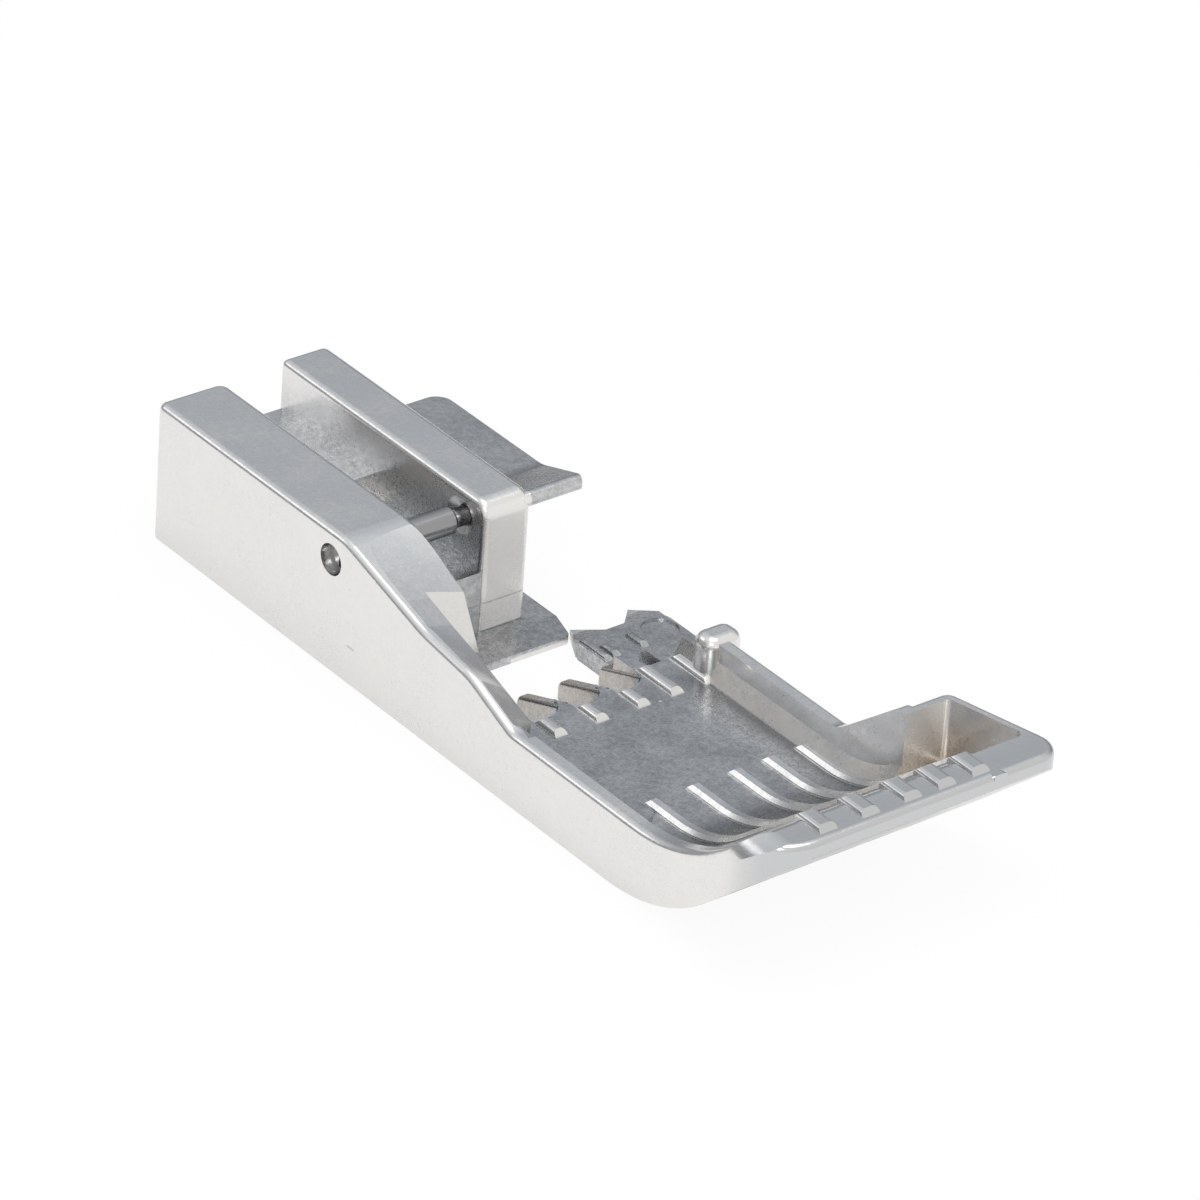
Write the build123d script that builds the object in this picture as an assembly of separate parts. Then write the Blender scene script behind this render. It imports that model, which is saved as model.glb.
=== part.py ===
from build123d import *
import os
from math import radians, tan

# Sewing machine presser foot, in millimetres.
# +X is the operator's right, the toe points to -Y and the sole lies on Z = 0.
# The origin is on the sole, midway between the clevis walls and under the cross pin.

# Clevis that clips over the ankle of the presser bar
channel_width = 4.16
left_wall = 4.52
right_wall = 3.22
heel_height = 8.47
heel_back = 16.45
heel_front = -2.2
right_wall_back = 16.85
rear_ledge_height = 5.5
channel_floor_height = 4.35
rear_ledge_front = 7.9
edge_round = 0.4
soft_edge_round = 0.3
heel_corner_round = 0.55
channel_corner_round = 0.7
rear_foot_round = 0.6
right_wall_rear_round = 1.3
right_wall_front_round = 1.0
right_wall_edge_round = 0.5

# Cross pin, a headless screw with a plain snap journal and a spigot
pin_below_top = 1.72
pin_journal_diameter = 1.6
pin_thread_diameter = 1.8
pin_spigot_diameter = 1.1
pin_recess = 0.7
pin_slot_width = 0.35
pin_slot_depth = 0.5
pin_shoulder_setback = 0.55
pin_spigot_depth = 1.6
pin_chamfer = 0.2
pin_clearance = 0.03
countersink_diameter = 2.3
countersink_depth = 0.35

# Thumb wing on the right wall
wing_below_top = 1.27
wing_thickness = 0.9
wing_reach = 3.55
wing_back = 10.8
wing_tip_y = -1.7
wing_lift = 1.0
wing_curl_length = 3.2
wing_curl_radius = 2.5
wing_corner_round = 1.0
wing_root = 0.5

# Sole plate under the right wall
sole_plate_thickness = 0.5
sole_plate_front = -5.1
sole_plate_reach = 1.5
sole_plate_back = 12.0
sole_plate_notch = 2.0
sole_plate_notch_width = 0.6
sole_plate_overlap = 0.3

# Left wall ahead of the clevis
wall_bend_y = -1.1
wall_knee_y = -8.2
wall_knee_height = 6.42
wall_shoulder_y = -12.3
wall_shoulder_height = 5.88
wall_foot_y = -16.1
wall_bend_radii = (4.0, 8.0, 4.0, 1.5)
thin_wall = 2.15
thin_wall_front = -15.2
thick_wall_top_y = -5.4
thick_wall_step_y = -7.5
thick_wall_step_height = 3.4

# Fall of the left wall's top from its outer rim to the thin wall's inner side, at places along it
wall_rim = 0.5
wall_slope_falls = [
    (-1.2, 0.0), (-3.8, 0.18), (-6.0, 0.33), (-8.0, 0.38), (-10.6, 0.75), (-12.8, 1.05),
    (-15.7, 0.8), (-17.0, 0.5),
]

# Upturned toe
floor_thickness = 2.3
toe_tip = -37.5
lip_height = 8.2
lip_width = 2.3
lip_face_height = 0.87
lip_end_round = 1.9
lip_crest_radius = 0.8
floor_bend_y = -28.21
floor_bend_radius = 8.0
sole_bend_y = -29.53
sole_bend_radius = 12.0
toe_corner_round = 3.2

# Rails along the toe
rail_height = 4.3
left_rail = 1.0
left_rail_bend_y = -31.5
left_rail_bend_radius = 11.5
right_rail_x = 8.25
right_rail = 0.9
right_rail_height = 4.47
right_rail_rise_y = -25.1
right_rail_bend_radius = 1.5
right_rail_rear = -14.3
rail_ledge_width = 0.55
rail_ledge_height = 1.1

# Cross lug that ends the right rail
lug_length = 2.5
lug_width = 1.8
lug_height = 4.75
lug_overhang = 0.65
lug_plan_round = 0.75
lug_top_round = 0.6

# Open pocket at the right front corner
pocket_rear = -29.7
pocket_wall = 0.7
pocket_right_x = 11.65
pocket_slant = 13.5
pocket_front_round = 1.5
pocket_rear_round = 0.8
pocket_inner_round = 0.4
pocket_root = 6.0
pocket_spread = 4.0
flange_edge_x = 11.4
flange_overlap = 0.3

# Needle notches, stitch fingers and the tongue behind them
needle_pitches = [2.8, 2.8]
first_needle_x = -1.8
notch_radius = 1.38
notch_setback = 0.1
floor_rear = -12.1
finger_width = 0.8
last_finger_width = 1.3
finger_rear = -9.2
finger_root = 0.6
finger_tip_height = 1.05
finger_tip_round = 0.5
finger_edge_round = 0.22
tongue_rear = -6.4
tongue_left_x = 5.5
tongue_height = 1.1
tongue_corner_round = 1.0
floor_teeth_x = [5.05, 6.85]
floor_tooth_rear = -10.3
floor_tooth_width = 0.9
floor_tooth_slant = 1.5

# Tails behind the tongue: left end, point and right end along X
tails = [(5.6, 6.5, 7.6), (8.9, 10.5, 11.3)]
tail_length = 1.7
tail_tip_height = 0.55

# Round marks of the mould's ejector pins
tongue_dish_place = (10.2, -7.9)
tongue_dish_diameter = 2.2
tongue_dish_depth = 0.12
floor_boss_place = (-3.75, -23.5)
floor_boss_diameter = 1.7
floor_boss_height = 0.22

# Guide ribs
rib_pitches = [2.8, 2.8, 2.28, 2.28]
first_rib_x = -2.35
rib_width = 0.8
lip_rib_width = 1.15
rib_height = 0.33
rib_edge_round = 0.3
rib_bevel = 0.2
rear_rib_front = -15.3
rear_rib_starts = [-13.45, -13.45, -13.45, -12.1, -12.1]
front_rib_start = -22.8
rib_end_run = 0.35
lip_rib_margin = 0.55
stub_ribs = [(5.78, -6.6, -9.1), (6.45, -7.6, -8.95), (8.36, -7.4, -9.0)]
stub_rib_width = 0.5
stub_rib_height = 0.22

# How far a cutting shape runs past what it cuts
overrun = 1.0

# Places that follow from the sizes above
channel_left = -channel_width / 2
channel_right = channel_width / 2
outer_left = channel_left - left_wall
outer_right = channel_right + right_wall
thin_wall_inner = outer_left + thin_wall
tray_left = outer_left + left_rail
ledge_left = right_rail_x - rail_ledge_width
rail_outer = right_rail_x + right_rail
lip_inner_y = toe_tip + lip_width
cut_top = max(heel_height, lip_height) + 2 * overrun
pin_height = heel_height - pin_below_top
wing_top = heel_height - wing_below_top


def side_face(*curves):
    """Face in the (y, z) side view from curves that close on each other."""
    edges = []
    for curve in curves:
        edges += curve.edges()
    return make_face(edges)


def side_solid(face, x_from, x_to):
    """Solid of a side-view face between two places along X."""
    return extrude(Plane.YZ.offset(x_from) * face, amount=x_to - x_from)


def box_between(low, high):
    """Box from its lowest corner to its highest."""
    size = [b - a for a, b in zip(low, high)]
    middle = [(a + b) / 2 for a, b in zip(low, high)]
    return Pos(*middle) * Box(*size)


def left_top_line():
    """Top of the left side, from the heel down the wall and up to the lip."""
    return FilletPolyline(
        (heel_back, heel_height),
        (wall_bend_y, heel_height),
        (wall_knee_y, wall_knee_height),
        (wall_shoulder_y, wall_shoulder_height),
        (wall_foot_y, rail_height),
        (left_rail_bend_y, rail_height),
        (lip_inner_y, lip_height),
        (toe_tip, lip_height),
        radius=(*wall_bend_radii, left_rail_bend_radius, lip_crest_radius),
    )


def rail_top_line():
    """Top of the right rail and the ramp that climbs to the pocket rim."""
    return FilletPolyline(
        (right_rail_rear, right_rail_height),
        (right_rail_rise_y, right_rail_height),
        (pocket_rear, lip_height),
        (toe_tip, lip_height),
        radius=(right_rail_bend_radius, edge_round),
    )


def sole_line(rear, top):
    """Underside from the front of the lip to a rear end, with that end's face."""
    return FilletPolyline(
        (toe_tip, lip_height),
        (toe_tip, lip_height - lip_face_height),
        (sole_bend_y, 0),
        (rear, 0),
        (rear, top),
        radius=(soft_edge_round, sole_bend_radius, rear_foot_round),
    )


def above_floor(x_from, x_to, rear, lift=0.0):
    """Space over the toe floor, which a tray cut takes away."""
    floor = FilletPolyline(
        (rear, floor_thickness + lift),
        (floor_bend_y, floor_thickness + lift),
        (lip_inner_y, lip_height + lift),
        radius=floor_bend_radius,
    )
    rest = Polyline(
        (lip_inner_y, lip_height + lift),
        (lip_inner_y, cut_top),
        (rear, cut_top),
        (rear, floor_thickness + lift),
    )
    return side_solid(side_face(floor, rest), x_from, x_to)


def left_plan():
    """Plan of the left wall, the toe floor and the tongue."""
    outline = FilletPolyline(
        (channel_left, heel_front),
        (channel_left, heel_back),
        (outer_left, heel_back),
        (outer_left, toe_tip),
        (right_rail_x, toe_tip),
        radius=(channel_corner_round, heel_corner_round, toe_corner_round),
    )
    rest = Polyline(
        (right_rail_x, toe_tip),
        (right_rail_x, floor_rear),
        (thin_wall_inner, floor_rear),
        (thin_wall_inner, thick_wall_step_y),
        (channel_left, thick_wall_step_y),
        (channel_left, heel_front),
    )
    return make_face(outline.edges() + rest.edges())


def pocket_plan(inset=0.0):
    """Plan of the pocket corner, or of its hollow when drawn inside its walls."""
    slant = tan(radians(pocket_slant))
    front = toe_tip if inset == 0 else lip_inner_y
    rear = pocket_rear - inset
    side = pocket_right_x - inset + inset * slant
    edge = pocket_right_x - inset + (pocket_rear - front) * slant
    front_round = pocket_front_round if inset == 0 else pocket_inner_round
    rear_round = pocket_rear_round if inset == 0 else pocket_inner_round
    left = right_rail_x if inset == 0 else right_rail_x - rail_ledge_width
    outline = FilletPolyline(
        (left, front),
        (edge, front),
        (side, rear),
        (left, rear),
        radius=(front_round, rear_round),
    )
    return make_face(outline.edges() + Line((left, rear), (left, front)).edges())


def outline_edges(solid):
    """Top edges on the left side and round the tip of the toe."""
    chosen = []
    for face in solid.faces():
        if face.normal_at().Z < 0.3:
            continue
        for edge in face.edges():
            at = edge.position_at(0.5)
            on_left = at.X < outer_left + heel_corner_round
            on_corner = at.Y < lip_inner_y + 0.5 and at.X < thin_wall_inner
            on_tip = at.Y < toe_tip + 0.01
            across = abs(edge.tangent_at(0.5).X) > 0.999 and toe_tip + 0.01 < at.Y < heel_back - 0.01
            if (on_left or on_corner or on_tip or at.Y > heel_back - 0.01) and not across:
                chosen.append(edge)
    return chosen


def left_top_height(y):
    """Height of the left wall's top at a place along it."""
    corners = [
        (wall_foot_y, rail_height),
        (wall_shoulder_y, wall_shoulder_height),
        (wall_knee_y, wall_knee_height),
        (wall_bend_y, heel_height),
    ]
    for (y0, z0), (y1, z1) in zip(corners, corners[1:]):
        if y0 <= y <= y1:
            return z0 + (z1 - z0) * (y - y0) / (y1 - y0)
    return rail_height if y < wall_foot_y else heel_height


def wall_slope():
    """What the slope of the thin wall's top takes away, falling to its inner side."""
    start = outer_left + wall_rim
    end = channel_left + wall_rim
    reach = (end - start) / (thin_wall_inner - start)
    sections = []
    for y, fall in wall_slope_falls:
        height = left_top_height(y) + 0.02
        corners = [(start, height), (end, height - fall * reach), (end, cut_top), (start, cut_top)]
        sections.append(Face(Wire(Polyline([(x, y, z) for x, z in corners], close=True).edges())))
    return loft(sections, ruled=True)


def lip_end_space():
    """What the round left end of the lip leaves free above the rail's bend."""
    inner = outer_left + lip_end_round
    low = lip_height - lip_end_round
    corner = box_between((outer_left - overrun, toe_tip - overrun, low), (inner, left_rail_bend_y, cut_top))
    middle = (toe_tip + left_rail_bend_y) / 2
    barrel = Cylinder(lip_end_round, left_rail_bend_y - toe_tip + 2 * overrun)
    return corner - Pos(inner, middle, low) * Rot(90, 0, 0) * barrel


def left_part():
    """Left wall, rail, toe floor and lip up to the right rail."""
    blank = side_solid(
        side_face(left_top_line(), sole_line(heel_back, heel_height)), outer_left, right_rail_x)
    blank &= extrude(left_plan(), amount=cut_top)
    blank = fillet(outline_edges(blank), edge_round)
    blank -= wall_slope()
    blank -= lip_end_space()
    blank -= above_floor(thin_wall_inner, ledge_left, floor_rear + overrun)
    blank -= above_floor(tray_left, thin_wall_inner, thin_wall_front)
    return blank - rail_ledge_space()


def rail_ledge_space():
    """Space over the sloped foot of the right rail."""
    low = above_floor(ledge_left, right_rail_x, floor_rear + overrun)
    low_face = low.faces().sort_by(Axis.X)[0]
    high = above_floor(ledge_left, right_rail_x, floor_rear + overrun, rail_ledge_height)
    high_face = high.faces().sort_by(Axis.X)[-1]
    return loft([low_face, high_face], ruled=True)


def thick_wall_front():
    """Sloped front of the thick part of the left wall, beside the needle gap."""
    profile = Polyline(
        (thick_wall_top_y, heel_height),
        (thick_wall_top_y, left_top_height(thick_wall_top_y)),
        (thick_wall_step_y, thick_wall_step_height),
        (thick_wall_step_y - overrun, thick_wall_step_height),
        (thick_wall_step_y - overrun, heel_height),
        close=True,
    )
    return side_solid(make_face(profile.edges()), thin_wall_inner, channel_left + overrun)


def right_wall_plan():
    """Plan of the right wall, with a large round at its outer rear corner."""
    outline = FilletPolyline(
        (channel_right, right_wall_back),
        (outer_right, right_wall_back),
        (outer_right, heel_front),
        radius=right_wall_rear_round,
    )
    rest = Polyline(outline @ 1, (channel_right, heel_front), outline @ 0)
    return make_face(outline.edges() + rest.edges())


def heel():
    """Slab under the channel and the right wall of the clevis."""
    side = FilletPolyline(
        (right_wall_back, 0),
        (right_wall_back, heel_height),
        (heel_front, heel_height),
        (heel_front, 0),
        radius=(edge_round, right_wall_front_round),
    )
    wall = side_solid(side_face(side, Line(side @ 1, side @ 0)), channel_right, outer_right)
    outer = wall.edges().filter_by(lambda e: e.position_at(0.5).Z > 0.01).group_by(Axis.X)[-1]
    wall = fillet(outer, right_wall_edge_round)
    inner = wall.edges().filter_by(Axis.Z).group_by(Axis.Y)[0].sort_by(Axis.X)[0]
    wall = fillet(inner, edge_round)
    wall &= extrude(right_wall_plan(), amount=heel_height)
    slab = box_between((channel_left - overrun, heel_front, 0), (channel_right, heel_back, rear_ledge_height))
    slab -= box_between(
        (channel_left - overrun, heel_front, channel_floor_height),
        (channel_right, rear_ledge_front, rear_ledge_height))
    return wall + slab


def wing():
    """Thumb wing: a flat plate on the right wall whose tip curls up."""
    line = FilletPolyline(
        (wing_back, wing_top - wing_thickness / 2),
        (wing_tip_y + wing_curl_length, wing_top - wing_thickness / 2),
        (wing_tip_y, wing_top - wing_thickness / 2 + wing_lift),
        radius=wing_curl_radius,
    )
    profile = offset(line, amount=wing_thickness / 2, kind=Kind.ARC, side=Side.BOTH)
    plate = side_solid(make_face(profile.edges()), outer_right - wing_root, outer_right + wing_reach)
    outline = RectangleRounded(2 * wing_reach, wing_back - wing_tip_y + overrun, wing_corner_round)
    place = Pos(outer_right, (wing_back + wing_tip_y - overrun) / 2, wing_top - 2 * overrun)
    return plate & (place * extrude(outline, amount=wing_lift + 4 * overrun))


def sole_plate():
    """Thin plate in the sole under the right wall, with its notched corner."""
    edge = outer_right + sole_plate_reach
    outline = FilletPolyline(
        (channel_left - sole_plate_overlap, sole_plate_front),
        (edge - sole_plate_notch_width, sole_plate_front),
        (edge, sole_plate_front + sole_plate_notch),
        (edge, sole_plate_back),
        (outer_right - overrun, sole_plate_back),
        radius=(edge_round, edge_round, edge_round),
    )
    rest = Polyline(
        (outer_right - overrun, sole_plate_back),
        (outer_right - overrun, heel_front + overrun),
        (channel_left - sole_plate_overlap, heel_front + overrun),
        (channel_left - sole_plate_overlap, sole_plate_front),
    )
    return extrude(make_face(outline.edges() + rest.edges()), amount=sole_plate_thickness)


def right_rail_part():
    """Right rail, its ramp and the sole strip outside it."""
    rail = side_solid(
        side_face(rail_top_line(), sole_line(right_rail_rear, right_rail_height)),
        right_rail_x, rail_outer)
    top = rail.faces().filter_by(lambda f: f.normal_at().Z > 0.3).edges()
    outer_edges = [e for e in top if e.position_at(0.5).X > rail_outer - 0.01]
    return fillet(outer_edges, soft_edge_round)


def rail_lug():
    """Round-topped lug across the rear end of the right rail."""
    centre_x = right_rail_x - lug_overhang + lug_length / 2
    plan = RectangleRounded(lug_length, lug_width, lug_plan_round)
    lug = Pos(centre_x, right_rail_rear, 0) * extrude(plan, amount=lug_height)
    return fillet(lug.faces().sort_by(Axis.Z)[-1].edges(), lug_top_round)


def pocket_part():
    """Open pocket at the right front corner, rounded along its rim."""
    sole = FilletPolyline(
        (toe_tip, lip_height),
        (toe_tip, lip_height - lip_face_height),
        (sole_bend_y, 0),
        (pocket_rear + pocket_root, 0),
        radius=(soft_edge_round, sole_bend_radius),
    )
    root = pocket_rear + pocket_root
    rest = Polyline((root, 0), (root, lip_height), (toe_tip, lip_height))
    block = side_solid(side_face(sole, rest), right_rail_x, pocket_right_x + pocket_spread)
    block &= extrude(pocket_plan(), amount=lip_height)
    top_edges = block.faces().sort_by(Axis.Z)[-1].edges()
    outer = [e for e in top_edges if e.position_at(0.5).X > right_rail_x + 0.1]
    block = fillet(outer, edge_round)
    hollow = above_floor(ledge_left, pocket_right_x + pocket_spread, floor_rear)
    hollow &= extrude(pocket_plan(pocket_wall), amount=cut_top)
    return block, hollow


def flange_part():
    """Thin sole outside the right rail, with the tongue at its rear end."""
    outline = FilletPolyline(
        (tongue_left_x, floor_rear - overrun),
        (tongue_left_x, tongue_rear),
        (flange_edge_x, tongue_rear),
        (flange_edge_x, pocket_rear - flange_overlap),
        radius=(edge_round, tongue_corner_round),
    )
    rest = Polyline(
        (flange_edge_x, pocket_rear - flange_overlap),
        (right_rail_x, pocket_rear - flange_overlap),
        (right_rail_x, floor_rear - overrun),
        (tongue_left_x, floor_rear - overrun),
    )
    plan = make_face(outline.edges() + rest.edges())
    sole = FilletPolyline(
        (toe_tip, lip_height - lip_face_height),
        (sole_bend_y, 0),
        (tongue_rear, 0),
        radius=sole_bend_radius,
    )
    top = FilletPolyline(
        (tongue_rear, tongue_height),
        (sole_bend_y + tongue_height / 2, tongue_height),
        (toe_tip, lip_height - lip_face_height + tongue_height),
        radius=sole_bend_radius - tongue_height,
    )
    rear_end = Line(sole @ 1, top @ 0)
    front_end = Line(sole @ 0, top @ 1)
    side = side_face(sole, rear_end, top, front_end)
    strip = side_solid(side, tongue_left_x - overrun, flange_edge_x + overrun)
    return strip & extrude(plan, amount=cut_top)


def needle_gap():
    """Notches in the rear edge of the toe floor, one round each needle."""
    gap = None
    x = first_needle_x
    for pitch in [0.0] + needle_pitches:
        x += pitch
        notch = Pos(x, floor_rear + notch_setback, 0) * Cylinder(notch_radius, 2 * floor_thickness + overrun)
        gap = notch if gap is None else gap + notch
    return gap


def finger(x_left, width):
    """Stitch finger behind a cusp of the floor, its rounded top falling to the rear."""
    root = floor_rear - finger_root
    top = FilletPolyline(
        (root, floor_thickness),
        (finger_rear, finger_tip_height),
        (finger_rear, 0),
        radius=finger_tip_round,
    )
    base = Polyline((finger_rear, 0), (root, 0), (root, floor_thickness))
    blade = side_solid(side_face(top, base), x_left, x_left + width)
    along = []
    for edge in blade.edges():
        at = edge.position_at(0.5)
        if abs(edge.tangent_at(0.5).X) < 0.01 and at.Z > 0.01 and at.Y > root + 0.01:
            along.append(edge)
    return fillet(along, finger_edge_round)


def floor_tooth(x_left):
    """Slanted tooth at the rear edge of the floor, beside the fingers."""
    outline = Polyline(
        (x_left, floor_rear - finger_root),
        (x_left, floor_tooth_rear),
        (x_left + floor_tooth_width, floor_tooth_rear - floor_tooth_slant),
        (x_left + floor_tooth_width, floor_rear - finger_root),
        close=True,
    )
    return extrude(make_face(outline.edges()), amount=floor_thickness)


def tail(left, point, right):
    """Pointed tail that falls to the rear behind the tongue."""
    root = tongue_rear - tongue_corner_round
    tip = tongue_rear + tail_length
    plan = Polyline(
        (left, root), (left, tongue_rear), (point, tip), (right, tongue_rear), (right, root), close=True)
    top = [(root, tongue_height), (tongue_rear, tongue_height), (tip, tail_tip_height)]
    side = Polyline((root, 0), *top, (tip, 0), close=True)
    wedge = side_solid(make_face(side.edges()), left, right)
    return wedge & extrude(make_face(plan.edges()), amount=tongue_height)


def ridge(x, width, rear, front, base, height):
    """Straight rib on a level face, with sloped ends and rounded long edges."""
    profile = Polyline(
        (rear, base - height), (rear, base), (rear - rib_end_run, base + height),
        (front + rib_end_run, base + height), (front, base), (front, base - height), close=True)
    bar = side_solid(make_face(profile.edges()), x - width / 2, x + width / 2)
    top_edges = bar.faces().sort_by(Axis.Z)[-1].edges().filter_by(Axis.Y)
    return fillet(top_edges, height * rib_edge_round / rib_height)


def bend_line(start, lift):
    """Line that follows the toe floor's bend up to the lip at a distance over it."""
    return FilletPolyline(
        (start, floor_thickness + lift),
        (floor_bend_y, floor_thickness + lift),
        (lip_inner_y, lip_height + lift),
        radius=floor_bend_radius - lift,
    )


def front_rib(x):
    """Long guide rib that runs up the toe's bend to the lip."""
    top = bend_line(front_rib_start - rib_end_run, rib_height)
    sunk = bend_line(front_rib_start, -rib_height)
    rear_end = Polyline(top @ 0, (front_rib_start, floor_thickness), sunk @ 0)
    front_end = Line(top @ 1, sunk @ 1)
    bar = side_solid(side_face(top, rear_end, sunk, front_end), x - rib_width / 2, x + rib_width / 2)
    top_edges = []
    for edge in bar.edges():
        at = edge.position_at(0.5)
        along = abs(edge.tangent_at(0.5).X) < 0.01
        on_top = Vertex(at.Y, at.Z, 0).distance_to(top) < 0.01
        if along and on_top:
            top_edges.append(edge)
    return chamfer(top_edges, rib_bevel)


def pin_space():
    """Holes for the cross pin: through the left wall and into the right one."""
    through = pin_thread_diameter / 2 + pin_clearance
    spigot = pin_spigot_diameter / 2 + pin_clearance
    rim = countersink_diameter / 2
    profile = Polyline(
        (outer_left - overrun, 0),
        (outer_left - overrun, through),
        (channel_left + overrun / 2, through),
        (channel_left + overrun / 2, rim),
        (channel_right, rim),
        (channel_right + countersink_depth, spigot),
        (channel_right + pin_spigot_depth, spigot),
        (channel_right + pin_spigot_depth, 0),
        close=True,
    )
    return Pos(0, 0, pin_height) * revolve(make_face(profile.edges()), Axis.X)


def ankle_pin():
    """Headless cross pin: slotted screw end, snap journal, shoulder and spigot."""
    screw = pin_thread_diameter / 2
    journal = pin_journal_diameter / 2
    spigot = pin_spigot_diameter / 2
    head = outer_left + pin_recess
    shoulder = channel_right - pin_shoulder_setback
    tip = channel_right + pin_spigot_depth - pin_clearance
    profile = Polyline(
        (head, 0),
        (head, screw - pin_chamfer),
        (head + pin_chamfer, screw),
        (channel_left - pin_chamfer, screw),
        (channel_left - pin_chamfer / 2, journal),
        (shoulder - (journal - spigot), journal),
        (shoulder, spigot),
        (tip - pin_chamfer, spigot),
        (tip, spigot - pin_chamfer),
        (tip, 0),
        close=True,
    )
    pin = revolve(make_face(profile.edges()), Axis.X)
    pin -= box_between(
        (head - overrun, -pin_slot_width / 2, -screw),
        (head + pin_slot_depth, pin_slot_width / 2, screw))
    return Pos(0, 0, pin_height) * pin


def guide_ribs():
    """Ribs at the rear, up the toe's bend and over the lip, in line with one another."""
    ribs = []
    x = first_rib_x
    for pitch, start in zip([0.0] + rib_pitches, rear_rib_starts):
        x += pitch
        ribs.append(ridge(x, rib_width, start, rear_rib_front, floor_thickness, rib_height))
        ribs.append(front_rib(x))
        ribs.append(ridge(
            x, lip_rib_width, lip_inner_y + rib_end_run, toe_tip + lip_rib_margin, lip_height, rib_height))
    for x, start, end in stub_ribs:
        ribs.append(ridge(x, stub_rib_width, start, end, tongue_height, stub_rib_height))
    return ribs


def ejector_marks(body):
    """The casting with the dish on its tongue and the boss on its floor."""
    dish = Cylinder(tongue_dish_diameter / 2, 2 * tongue_dish_depth)
    body -= Pos(*tongue_dish_place, tongue_height) * dish
    boss = Cylinder(floor_boss_diameter / 2, 2 * floor_boss_height)
    return body + Pos(*floor_boss_place, floor_thickness) * boss


def foot_body():
    """The whole casting."""
    body = left_part()
    body -= thick_wall_front()
    body += heel()
    body += sole_plate()
    body += wing()
    body += right_rail_part()
    block, hollow = pocket_part()
    body += block
    body -= hollow
    body += flange_part()
    body += rail_lug()
    body -= needle_gap()
    x = first_needle_x + needle_pitches[0] / 2 - soft_edge_round
    for width in (finger_width, finger_width, last_finger_width):
        body += finger(x, width)
        x += needle_pitches[0]
    for x in floor_teeth_x:
        body += floor_tooth(x)
    for place in tails:
        body += tail(*place)
    body = ejector_marks(body)
    for rib in guide_ribs():
        body += rib
    return body - pin_space()


os.makedirs("parts", exist_ok=True)
export_step(foot_body(), "parts/foot_body.step")
export_step(ankle_pin(), "parts/ankle_pin.step")
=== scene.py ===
"""Looks of the sewing machine presser foot: plated casting, cross pin, studio and camera."""
import logging
import math
from dataclasses import dataclass, field
from enum import Enum

import bpy
from mathutils import Matrix, Vector

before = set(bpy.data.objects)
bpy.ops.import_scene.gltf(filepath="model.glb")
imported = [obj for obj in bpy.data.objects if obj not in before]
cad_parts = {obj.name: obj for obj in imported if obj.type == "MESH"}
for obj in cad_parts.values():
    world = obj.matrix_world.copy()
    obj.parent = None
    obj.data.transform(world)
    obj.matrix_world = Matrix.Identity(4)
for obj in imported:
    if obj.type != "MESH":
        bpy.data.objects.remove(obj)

LOG = logging.getLogger("presser_foot")
MM = 0.001
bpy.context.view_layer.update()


class Piece(Enum):
    """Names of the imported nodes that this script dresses."""

    CASTING = "foot_body"
    PIN = "ankle_pin"


class Socket:
    """A node socket, or a plain number, that builds Math nodes from Python operators."""

    def __init__(self, tree: bpy.types.NodeTree, source: object) -> None:
        """Wraps one output socket or one number.

        Args:
            tree: the node tree that new Math nodes go into.
            source: an output socket, or a number.
        """
        self.tree = tree
        self.source = source

    def _math(self, operation: str, first: object, second: object) -> "Socket":
        """Adds one Math node and returns its value."""
        node = self.tree.nodes.new("ShaderNodeMath")
        node.operation = operation
        for place, value in enumerate((first, second)):
            value = value.source if isinstance(value, Socket) else value
            if isinstance(value, (int, float)):
                node.inputs[place].default_value = value
            else:
                self.tree.links.new(value, node.inputs[place])
        return Socket(self.tree, node.outputs[0])

    def __add__(self, other: object) -> "Socket":
        """Sum."""
        return self._math("ADD", self, other)

    __radd__ = __add__

    def __sub__(self, other: object) -> "Socket":
        """Difference."""
        return self._math("SUBTRACT", self, other)

    def __rsub__(self, other: object) -> "Socket":
        """Difference with this value taken away."""
        return self._math("SUBTRACT", other, self)

    def __mul__(self, other: object) -> "Socket":
        """Product."""
        return self._math("MULTIPLY", self, other)

    __rmul__ = __mul__

    def at_least(self, other: object) -> "Socket":
        """Larger of the two values."""
        return self._math("MAXIMUM", self, other)

    def at_most(self, other: object) -> "Socket":
        """Smaller of the two values."""
        return self._math("MINIMUM", self, other)


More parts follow.
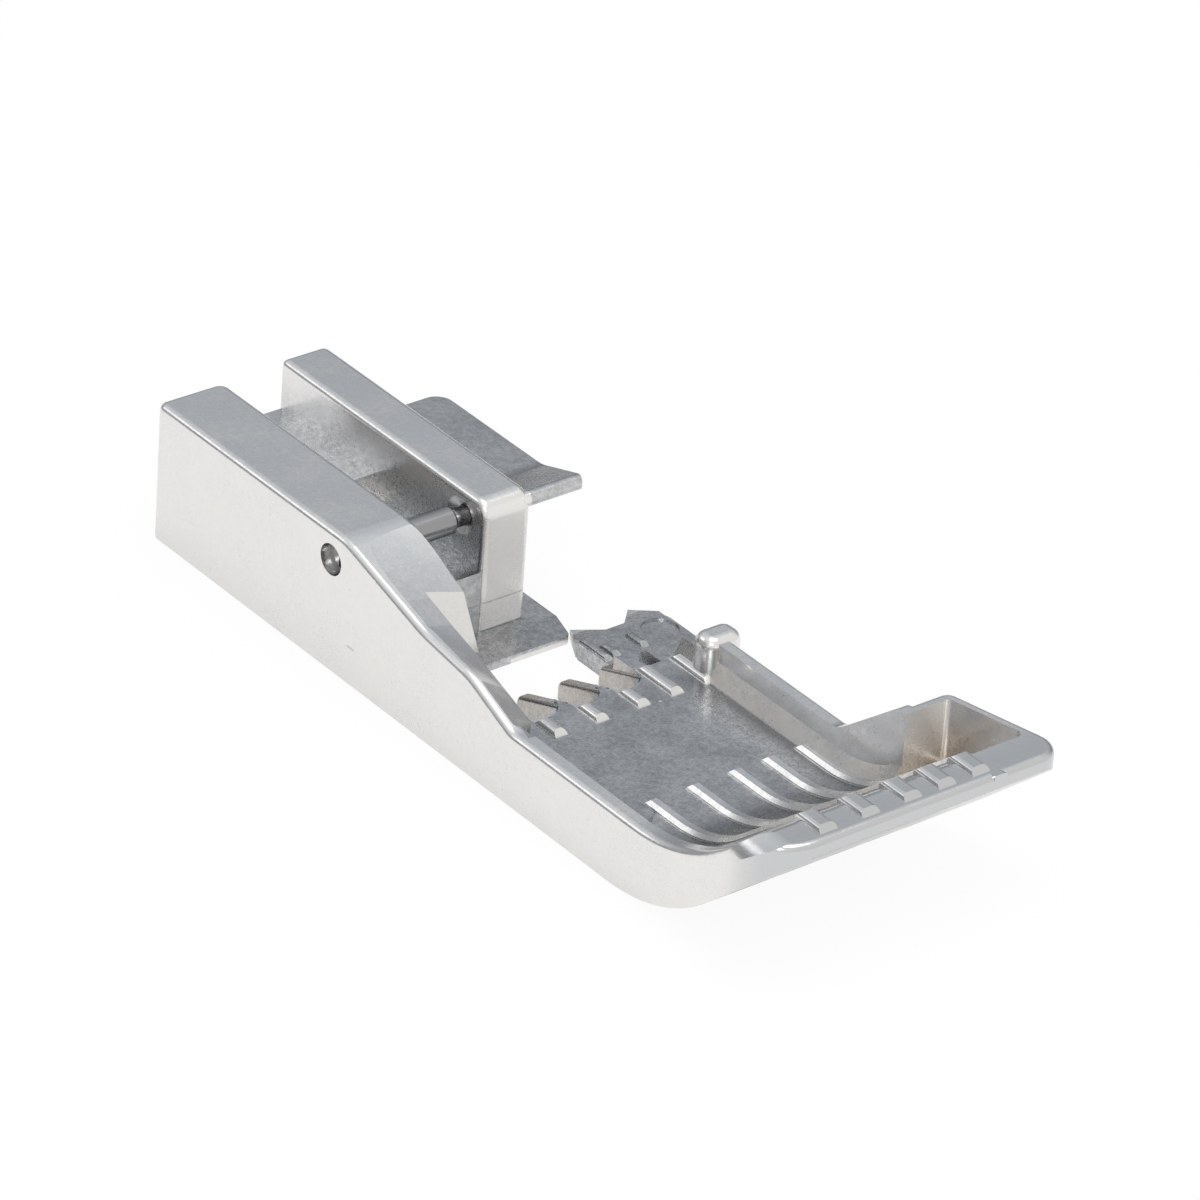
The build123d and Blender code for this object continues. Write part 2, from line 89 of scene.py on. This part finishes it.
class Shader:
    """One material and the few ways in which its nodes are added."""

    def __init__(self, name: str) -> None:
        """Starts an empty node tree with an output.

        Args:
            name: the material's name.
        """
        self.material = bpy.data.materials.new(name)
        self.material.use_nodes = True
        self.tree = self.material.node_tree
        self.tree.nodes.clear()

    def node(self, kind: str, settings: dict | None = None, inputs: dict | None = None) -> bpy.types.Node:
        """Adds a node, sets its settings first, and then its sockets.

        Args:
            kind: the node's type, without the ShaderNode prefix.
            settings: attributes of the node, such as an operation or a ramp's stops.
            inputs: values or links, by socket name or number.

        Returns:
            The new node.
        """
        made = self.tree.nodes.new("ShaderNode" + kind)
        for key, value in (settings or {}).items():
            if key == "stops":
                self._set_stops(made.color_ramp, value)
            else:
                setattr(made, key, value)
        for key, value in (inputs or {}).items():
            value = value.source if isinstance(value, Socket) else value
            if isinstance(value, bpy.types.NodeSocket):
                self.tree.links.new(value, made.inputs[key])
            else:
                made.inputs[key].default_value = value
        return made

    def _set_stops(self, ramp: bpy.types.ColorRamp, stops: list) -> None:
        """Sets a ramp's stops from (place, colour) pairs."""
        while len(ramp.elements) > 1:
            ramp.elements.remove(ramp.elements[0])
        ramp.elements[0].position, ramp.elements[0].color = stops[0]
        for place, colour in stops[1:]:
            ramp.elements.new(place).color = colour

    def value(self, node: bpy.types.Node, output: object = 0) -> Socket:
        """Wraps one output of a node."""
        return Socket(self.tree, node.outputs[output])

    def ramp(self, source: object, low: float, high: float, smooth: bool = True) -> Socket:
        """Value from 0 at low to 1 at high."""
        made = self.node(
            "MapRange",
            {"interpolation_type": "SMOOTHSTEP" if smooth else "LINEAR"},
            {"Value": source, "From Min": low, "From Max": high, "To Min": 0.0, "To Max": 1.0},
        )
        return self.value(made)

    def noise(self, vector: object, per_metre: float, detail: float = 3.0) -> Socket:
        """Noise from 0 to 1 at a scale of features for each metre."""
        made = self.node(
            "TexNoise", {}, {"Vector": vector, "Scale": per_metre, "Detail": detail, "Roughness": 0.6})
        return self.value(made, "Fac")

    def mix(self, factor: object, first: object, second: object) -> bpy.types.NodeSocket:
        """Colour between two colours."""
        made = self.node("Mix", {"data_type": "RGBA"}, {0: factor, 6: first, 7: second})
        return made.outputs[2]

    def output(self, surface: bpy.types.NodeSocket) -> bpy.types.Material:
        """Links the surface to the material's output and returns the material."""
        self.node("OutputMaterial", {}, {"Surface": surface})
        return self.material


@dataclass
class Regions:
    """Masks of the casting's regions that differ in finish, and of the places where shade is painted.

    Each pair of numbers is the place, in millimetres, where a mask is nothing and where it is full.
    """

    shader: Shader
    x: Socket
    y: Socket
    z: Socket
    tray_rear: tuple = (-5.2, -5.6)
    tray_left: tuple = (-5.7, -5.5)
    tray_right: tuple = (7.75, 7.65)
    tray_top: tuple = (4.1, 3.3)
    tongue_front: tuple = (-16.0, -12.4)
    tongue_top: tuple = (1.5, 1.4)
    inner_left: tuple = (-3.2, -3.0)
    channel_left: tuple = (-2.18, -2.12)
    channel_right: tuple = (2.18, 2.12)
    channel_top: tuple = (8.3, 6.0)
    channel_depth: tuple = (11.0, 1.0)
    channel_rear_share: float = 0.25
    channel_front_share: float = 0.55
    wing_side: tuple = (5.25, 5.35)
    wing_front: tuple = (-3.0, -2.8)
    wing_share: float = 0.8
    plate_top: tuple = (0.6, 0.52)
    plate_bottom: tuple = (0.2, 0.4)
    plate_front: tuple = (-5.4, -5.3)
    plate_left: tuple = (-2.6, -2.4)
    rail_shadow: tuple = (5.4, 7.7)
    bend_shadow: tuple = (-25.5, -28.5)
    shadow_rear: tuple = (-12.5, -14.5)
    shadow_share: float = 0.75
    rib_places: tuple = (-2.35, 0.45, 3.25, 5.53, 7.81)
    rib_half: float = 0.42
    rib_blend: float = 0.05
    rear_ribs_front: tuple = (-15.4, -15.2)
    rear_ribs_rear: tuple = (-11.9, -12.2)
    front_ribs_rear: tuple = (-22.7, -22.9)
    pocket_left: tuple = (7.9, 8.3)
    pocket_right: tuple = (11.95, 11.75)
    pocket_rear: tuple = (-29.9, -30.4)
    pocket_top: tuple = (8.0, 4.0)
    pocket_share: float = 0.8
    fingers_front: tuple = (-12.5, -12.0)
    fingers_rear: tuple = (-9.0, -9.3)
    fingers_top: tuple = (2.29, 2.2)
    fingers_right: tuple = (6.2, 5.6)
    seam_bottom: tuple = (2.20, 2.25)
    seam_top: tuple = (2.34, 2.29)
    seam_front: tuple = (-2.5, -2.3)
    seam_rear: tuple = (-1.7, -1.9)
    seam_strength: float = 1.6
    clevis_front_near: tuple = (-4.0, -3.0)
    clevis_front_far: tuple = (-1.4, -1.7)
    lip_depth: tuple = (-33.5, -36.5)

    def _over(self, axis: Socket, *pairs: tuple) -> Socket:
        """Mask along one axis, which is full where each pair's mask is."""
        mask = None
        for none, full in pairs:
            part = self.shader.ramp(axis, none * MM, full * MM)
            mask = part if mask is None else mask * part
        return mask

    def cast(self) -> Socket:
        """Mask of the surfaces that no polishing tool reaches, apart from the ribs' tops; inside the clevis
        channel it is partly painted shade.
        """
        rough = self._tray().at_least(self._plates())
        return rough * (1.0 - 0.9 * self._ribs())

    def _tray(self) -> Socket:
        """Mask of the toe's tray, the tongue and the inside of the clevis channel, whose darkening is
        partly unpolished finish and partly painted shade, fuller towards the pin.
        """
        ahead = self._over(self.y, self.tray_rear)
        inside = self._over(self.x, self.tray_left, self.tray_right)
        floor = ahead * inside * self._over(self.z, self.tray_top)
        tongue = self._over(self.y, self.tongue_front) * self._over(self.z, self.tongue_top)
        tongue = tongue * self._over(self.x, self.inner_left)
        channel = self._over(self.x, self.channel_left, self.channel_right)
        # Inside the channel the mask is partly painted shade, fuller towards the pin.
        channel = channel * self._over(self.z, self.channel_top) * (1.0 - ahead)
        depth = self._over(self.y, self.channel_depth)
        channel = channel * (self.channel_rear_share + self.channel_front_share * depth)
        return floor.at_least(ahead * tongue).at_least(channel)

    def _plates(self) -> Socket:
        """Mask of the thumb wing and of the thin sole plate beside the right wall."""
        wing = self._over(self.x, self.wing_side) * self._over(self.y, self.wing_front)
        plate = self._over(self.z, self.plate_top, self.plate_bottom)
        plate = plate * self._over(self.y, self.plate_front) * self._over(self.x, self.plate_left)
        return wing * self.wing_share + plate * (1.0 - wing)

    def _ribs(self) -> Socket:
        """Mask of the guide ribs, which the fabric keeps bright."""
        bands = None
        for centre in self.rib_places:
            left = centre - self.rib_half
            right = centre + self.rib_half
            band = self._over(self.x, (left - self.rib_blend, left), (right + self.rib_blend, right))
            bands = band if bands is None else bands.at_least(band)
        rear = self._over(self.y, self.rear_ribs_front, self.rear_ribs_rear)
        return bands * rear.at_least(self._over(self.y, self.front_ribs_rear))

    def painted_shade_mask(self) -> Socket:
        """Mask of the painted shade in the tray's darkest places, beside the right rail and in the upturned
        bend.
        """
        dark = self._over(self.x, self.rail_shadow).at_least(self._over(self.y, self.bend_shadow))
        return self.shadow_share * dark * self._over(self.y, self.shadow_rear)

    def warm_brown_mask(self) -> Socket:
        """Mask of the pocket's inside, fuller lower down, and of the fingers, where the colour turns warm
        brown.
        """
        pocket = self._over(self.x, self.pocket_left, self.pocket_right)
        pocket = self.pocket_share * pocket * self._over(self.y, self.pocket_rear)
        pocket = pocket * self._over(self.z, self.pocket_top)
        fingers = self._over(self.y, self.fingers_front, self.fingers_rear)
        fingers = fingers * self._over(self.z, self.fingers_top)
        fingers = fingers * self._over(self.x, self.fingers_right, self.inner_left)
        return pocket.at_least(fingers)

    def seam(self) -> Socket:
        """Mask of the mould's parting line across the front of the clevis."""
        line = self._over(self.z, self.seam_bottom, self.seam_top)
        front = self._over(self.y, self.seam_front, self.seam_rear)
        return (self.seam_strength * line * front).at_most(1.0)

    def clevis_front(self) -> Socket:
        """Mask of the stretch that holds the front of the clevis walls."""
        return self._over(self.y, self.clevis_front_near, self.clevis_front_far)

    def lip(self) -> Socket:
        """Mask of the lip at the toe's tip, where shade is painted."""
        return self._over(self.y, self.lip_depth)


@dataclass(frozen=True)
class PlatedCasting:
    """Satin nickel plate over a die casting, darker and rougher where no polishing tool reaches, with
    painted shade in the tray, in the clevis channel, on the upward faces and along the lip.

    Noise scales are for each metre, and pairs of numbers are where a ramp starts and where it is full.
    """

    bright: tuple = (0.82, 0.80, 0.775, 1.0)
    bright_shade: tuple = (0.775, 0.765, 0.755, 1.0)
    cast_light: tuple = (0.58, 0.592, 0.605, 1.0)
    cast_dark: tuple = (0.30, 0.308, 0.32, 1.0)
    # Painted shade for the tray's darkest places, beside the right rail and in the bend.
    painted_shade_colour: tuple = (0.17, 0.175, 0.185, 1.0)
    # Painted shade for the upward faces.
    painted_top_shade: tuple = (0.64, 0.65, 0.662, 1.0)
    # Painted shade for the lip.
    painted_lip_shade: tuple = (0.58, 0.585, 0.59, 1.0)
    # Warm brown tone in the pocket, fuller lower down, and on the fingers.
    warm_brown: tuple = (0.55, 0.48, 0.41, 1.0)
    polish_roughness: float = 0.17
    cast_roughness: float = 0.21
    patch_roughness: float = 0.12
    polish_metallic: float = 0.94
    cast_metallic: float = 0.06
    front_haze: float = 0.64
    # Normal heights between which the upward faces take painted shade.
    upper_normal: tuple = (0.80, 0.97)
    front_normal: tuple = (-0.6, -0.95)
    cloud_scale: float = 380.0
    mottle_scale: float = 2600.0
    grain_scale: float = 7000.0
    patch_range: tuple = (0.32, 0.68)
    scratch_scale: tuple = (9000.0, 500.0, 9000.0)
    scratch_share: float = 0.15
    pit_scale: float = 900.0
    pit_size: tuple = (0.12, 0.05)
    pit_clouds: tuple = (0.56, 0.64)
    bump_strength: float = 0.15
    bump_depth: float = 0.02 * MM

    def build(self) -> bpy.types.Material:
        """Builds the material on Object coordinates.

        Returns:
            The finished material.
        """
        shader = Shader("plated_casting")
        coordinates = shader.node("TexCoord")
        place = coordinates.outputs["Object"]
        xyz = shader.node("SeparateXYZ", {}, {0: place})
        regions = Regions(shader, *(shader.value(xyz, axis) for axis in range(3)))
        facing = shader.node("SeparateXYZ", {}, {0: coordinates.outputs["Normal"]})
        # The upward faces take painted shade.
        upper = shader.ramp(shader.value(facing, 2), *self.upper_normal)
        front = shader.ramp(shader.value(facing, 1), *self.front_normal) * regions.clevis_front()
        cloud = shader.noise(place, self.cloud_scale, 2.0)
        mottle = shader.noise(place, self.mottle_scale, 2.0)
        grain = shader.noise(place, self.grain_scale, 1.0)
        patches = shader.ramp(0.35 * cloud + 0.35 * mottle + 0.3 * grain, *self.patch_range)
        pits = self._pits(shader, place, cloud)
        cast = regions.cast()
        colour = shader.mix(cast, self._polished_with_painted_shade(shader, regions, upper, patches),
                            self._dull(shader, regions, patches))
        colour = shader.mix(cast * pits, colour, self.bright)
        # Warm brown tone in the pocket and on the fingers.
        colour = shader.mix(regions.warm_brown_mask() * cloud, colour, self.warm_brown)
        colour = shader.mix(regions.seam() * mottle, colour, self.cast_dark)
        rough = self.polish_roughness + self.patch_roughness * patches
        rough = rough + cast * (self.cast_roughness - self.polish_roughness)
        height = grain + 1.5 * mottle + 2.0 * cloud + 6.0 * self._scratches(shader, place)
        height = (height - 3.0 * pits) * (0.8 + 0.8 * cast)
        bump = shader.node("Bump", {}, {
            "Strength": self.bump_strength, "Distance": self.bump_depth, "Height": height})
        metal = shader.node("BsdfPrincipled", {}, {
            "Base Color": colour, "Roughness": rough, "Normal": bump.outputs[0],
            "Metallic": self.polish_metallic + self.cast_metallic * cast - self.front_haze * front})
        return shader.output(metal.outputs[0])

    def _polished_with_painted_shade(
            self, shader: Shader, regions: Regions, upper: Socket, patches: Socket) -> bpy.types.NodeSocket:
        """Colour of the polished surfaces, with painted shade on the upward faces and along the lip."""
        colour = shader.mix(patches, self.bright, self.bright_shade)
        # Painted shade on the upward faces.
        colour = shader.mix(upper * (0.25 + 1.1 * patches), colour, self.painted_top_shade)
        # Painted shade along the lip.
        return shader.mix(regions.lip(), colour, self.painted_lip_shade)

    def _dull(self, shader: Shader, regions: Regions, patches: Socket) -> bpy.types.NodeSocket:
        """Colour of the surfaces that stay as they came from the mould, with painted shade in the tray's
        darkest places.
        """
        colour = shader.mix(patches, self.cast_light, self.cast_dark)
        # Painted shade in the tray beside the right rail and in the upturned bend.
        return shader.mix(regions.painted_shade_mask(), colour, self.painted_shade_colour)

    def _scratches(self, shader: Shader, place: bpy.types.NodeSocket) -> Socket:
        """Fine polishing lines along the foot."""
        along = shader.node("Mapping", {}, {"Vector": place, "Scale": self.scratch_scale})
        return self.scratch_share * shader.noise(along.outputs[0], 1.0, 1.0)

    def _pits(self, shader: Shader, place: bpy.types.NodeSocket, cloud: Socket) -> Socket:
        """Scattered small pits, more of them where the clouds are light."""
        cells = shader.node("TexVoronoi", {"feature": "F1"}, {"Vector": place, "Scale": self.pit_scale})
        near = shader.ramp(shader.value(cells, "Distance"), *self.pit_size)
        return near * shader.ramp(cloud, *self.pit_clouds)


@dataclass(frozen=True)
class TurnedSteel:
    """Turned and ground steel of the cross pin, with fine rings round its axis."""

    colour: tuple = (0.34, 0.34, 0.35, 1.0)
    roughness: float = 0.16
    ring_roughness: float = 0.12
    ring_scale: tuple = (9000.0, 300.0, 300.0)
    bump_strength: float = 0.1
    bump_depth: float = 0.02 * MM

    def build(self) -> bpy.types.Material:
        """Builds the material on Object coordinates."""
        shader = Shader("turned_steel")
        place = shader.node("TexCoord").outputs["Object"]
        stretched = shader.node("Mapping", {}, {"Vector": place, "Scale": self.ring_scale})
        rings = shader.noise(stretched.outputs[0], 1.0, 2.0)
        bump = shader.node("Bump", {}, {
            "Strength": self.bump_strength, "Distance": self.bump_depth, "Height": rings})
        metal = shader.node("BsdfPrincipled", {}, {
            "Base Color": self.colour, "Metallic": 1.0,
            "Roughness": self.roughness + self.ring_roughness * rings, "Normal": bump.outputs[0]})
        return shader.output(metal.outputs[0])


@dataclass(frozen=True)
class WhiteTable:
    """Pale table that looks white to the camera and in the metal, and keeps a soft shadow."""

    colour: tuple = (0.9, 0.9, 0.9, 1.0)
    camera_share: float = 0.93
    metal_share: float = 0.55
    shadow_reach: float = 0.05

    def build(self) -> bpy.types.Material:
        """Builds the material."""
        shader = Shader("white_table")
        path = shader.node("LightPath")
        place = shader.node("TexCoord").outputs["Object"]
        away = shader.node("VectorMath", {"operation": "LENGTH"}, {0: place})
        away = shader.ramp(shader.value(away, "Value"), self.shadow_reach, 2.0 * self.shadow_reach)
        seen = self.camera_share + away * (1.0 - self.camera_share)
        seen = seen * shader.value(path, "Is Camera Ray")
        seen = seen + self.metal_share * shader.value(path, "Is Glossy Ray")
        plain = shader.node("BsdfDiffuse", {}, {"Color": self.colour})
        glow = shader.node("Emission", {}, {"Color": (1.0, 1.0, 1.0, 1.0), "Strength": 1.0})
        surface = shader.node(
            "MixShader", {}, {0: seen, 1: plain.outputs[0], 2: glow.outputs[0]})
        shader.material.cycles.emission_sampling = "NONE"
        return shader.output(surface.outputs[0])


@dataclass(frozen=True)
class TentCloth:
    """Light tent over the table, from grey-blue near the table to white overhead."""

    stops: tuple = (
        (0.0, (0.22, 0.22, 0.22, 1.0)),
        (0.20, (0.28, 0.29, 0.31, 1.0)),
        (0.42, (0.40, 0.42, 0.45, 1.0)),
        (0.60, (0.62, 0.64, 0.67, 1.0)),
        (0.80, (0.80, 0.82, 0.84, 1.0)),
        (1.0, (0.98, 0.98, 0.98, 1.0)),
    )
    front: tuple = (0.88, 0.875, 0.86, 1.0)
    front_turn: tuple = (0.15, -0.35)

    def build(self, radius: float) -> bpy.types.Material:
        """Builds the material for a tent of a given radius.

        Args:
            radius: the tent's radius in metres.
        """
        shader = Shader("tent_cloth")
        place = shader.node("TexCoord").outputs["Object"]
        xyz = shader.node("SeparateXYZ", {}, {0: place})
        height = shader.value(xyz, 2) * (1.0 / radius)
        behind = shader.value(xyz, 1) * (1.0 / radius)
        rear = shader.node("ValToRGB", {"stops": self.stops}, {0: height}).outputs[0]
        colour = shader.mix(shader.ramp(behind, *self.front_turn), rear, self.front)
        glow = shader.node("Emission", {}, {"Color": colour, "Strength": 1.0})
        shader.material.cycles.emission_sampling = "NONE"
        return shader.output(glow.outputs[0])


@dataclass
class Casting:
    """The foot's casting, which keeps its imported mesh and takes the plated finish."""

    finish: PlatedCasting = field(default_factory=PlatedCasting)

    def dress(self) -> None:
        """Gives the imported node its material."""
        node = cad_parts[Piece.CASTING.value]
        node.data.materials.clear()
        node.data.materials.append(self.finish.build())
        LOG.info("dressed %s", node.name)


@dataclass
class AnklePin:
    """The cross pin in the clevis."""

    finish: TurnedSteel = field(default_factory=TurnedSteel)

    def dress(self) -> None:
        """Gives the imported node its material."""
        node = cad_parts[Piece.PIN.value]
        node.data.materials.clear()
        node.data.materials.append(self.finish.build())
        LOG.info("dressed %s", node.name)


@dataclass(frozen=True)
class Softbox:
    """One square softbox: its name, its place and side in metres, and its power in watts."""

    name: str
    place: tuple
    side: float
    power: float


@dataclass
class Studio:
    """White table, light tent, soft lamps and the world."""

    table_size: float = 6.0
    table_drop: float = 0.02 * MM
    tent_radius: float = 1.2
    tent_segments: int = 48
    tent_rings: int = 24
    softboxes: tuple = (
        Softbox("left_softbox", (-0.27, 0.33, 0.28), 0.16, 0.08),
        Softbox("top_softbox", (0.05, -0.05, 0.60), 0.40, 1.1),
        Softbox("front_softbox", (-0.35, -0.35, 0.38), 0.20, 0.5),
    )

    def build(self) -> None:
        """Builds the table, the tent, the lamps and the world."""
        self._table()
        self._tent()
        for softbox in self.softboxes:
            self._lamp(softbox)
        self._world()

    def _table(self) -> None:
        """Adds the table under the sole."""
        bpy.ops.mesh.primitive_plane_add(size=self.table_size, location=(0, 0, -self.table_drop))
        table = bpy.context.object
        table.name = "studio_table"
        table.data.materials.append(WhiteTable().build())

    def _tent(self) -> None:
        """Adds the tent, which shows in the metal and not to the camera."""
        bpy.ops.mesh.primitive_uv_sphere_add(
            segments=self.tent_segments, ring_count=self.tent_rings, radius=self.tent_radius)
        tent = bpy.context.object
        tent.name = "studio_tent"
        tent.data.materials.append(TentCloth().build(self.tent_radius))
        tent.visible_camera = False
        tent.visible_shadow = False

    def _lamp(self, softbox: Softbox) -> None:
        """Adds one softbox that points at the foot.

        Args:
            softbox: what the lamp is.
        """
        data = bpy.data.lights.new(softbox.name, "AREA")
        data.size = softbox.side
        data.energy = softbox.power
        lamp = bpy.data.objects.new(softbox.name, data)
        lamp.location = softbox.place
        towards = -Vector(softbox.place)
        lamp.rotation_euler = towards.to_track_quat("-Z", "Y").to_euler()
        bpy.context.scene.collection.objects.link(lamp)

    def _world(self) -> None:
        """White background for what the camera and the metal see past the table."""
        world = bpy.data.worlds.new("studio_world")
        bpy.context.scene.world = world
        world.use_nodes = True
        world.node_tree.nodes["Background"].inputs[0].default_value = (1.0, 1.0, 1.0, 1.0)
        world.node_tree.nodes["Background"].inputs[1].default_value = 1.0


@dataclass
class PhotoCamera:
    """Camera at the photograph's place, in millimetres from the foot's origin."""

    eye: tuple = (-217.25, -273.47, 212.3)
    right: tuple = (0.7883, -0.6120, 0.0639)
    up: tuple = (0.2728, 0.4406, 0.8552)
    lens_mm: float = 224.475
    sensor_mm: float = 36.0
    nearest: float = 0.01

    def build(self) -> None:
        """Adds the camera and makes it the scene's camera."""
        right = Vector(self.right).normalized()
        back = right.cross(Vector(self.up)).normalized()
        up = back.cross(right)
        turn = Matrix((right, up, back)).transposed()
        data = bpy.data.cameras.new("photo_camera")
        data.lens = self.lens_mm
        data.sensor_width = self.sensor_mm
        data.clip_start = self.nearest
        camera = bpy.data.objects.new("photo_camera", data)
        camera.matrix_world = Matrix.Translation(Vector(self.eye) * MM) @ turn.to_4x4()
        bpy.context.scene.collection.objects.link(camera)
        bpy.context.scene.camera = camera


def main() -> None:
    """Builds the pieces, the studio and the camera in order."""
    logging.basicConfig(level=logging.INFO)
    bpy.ops.object.select_all(action="DESELECT")
    Casting().dress()
    AnklePin().dress()
    Studio().build()
    PhotoCamera().build()
    bpy.context.scene.view_settings.view_transform = "Standard"


if __name__ == "__main__":
    main()
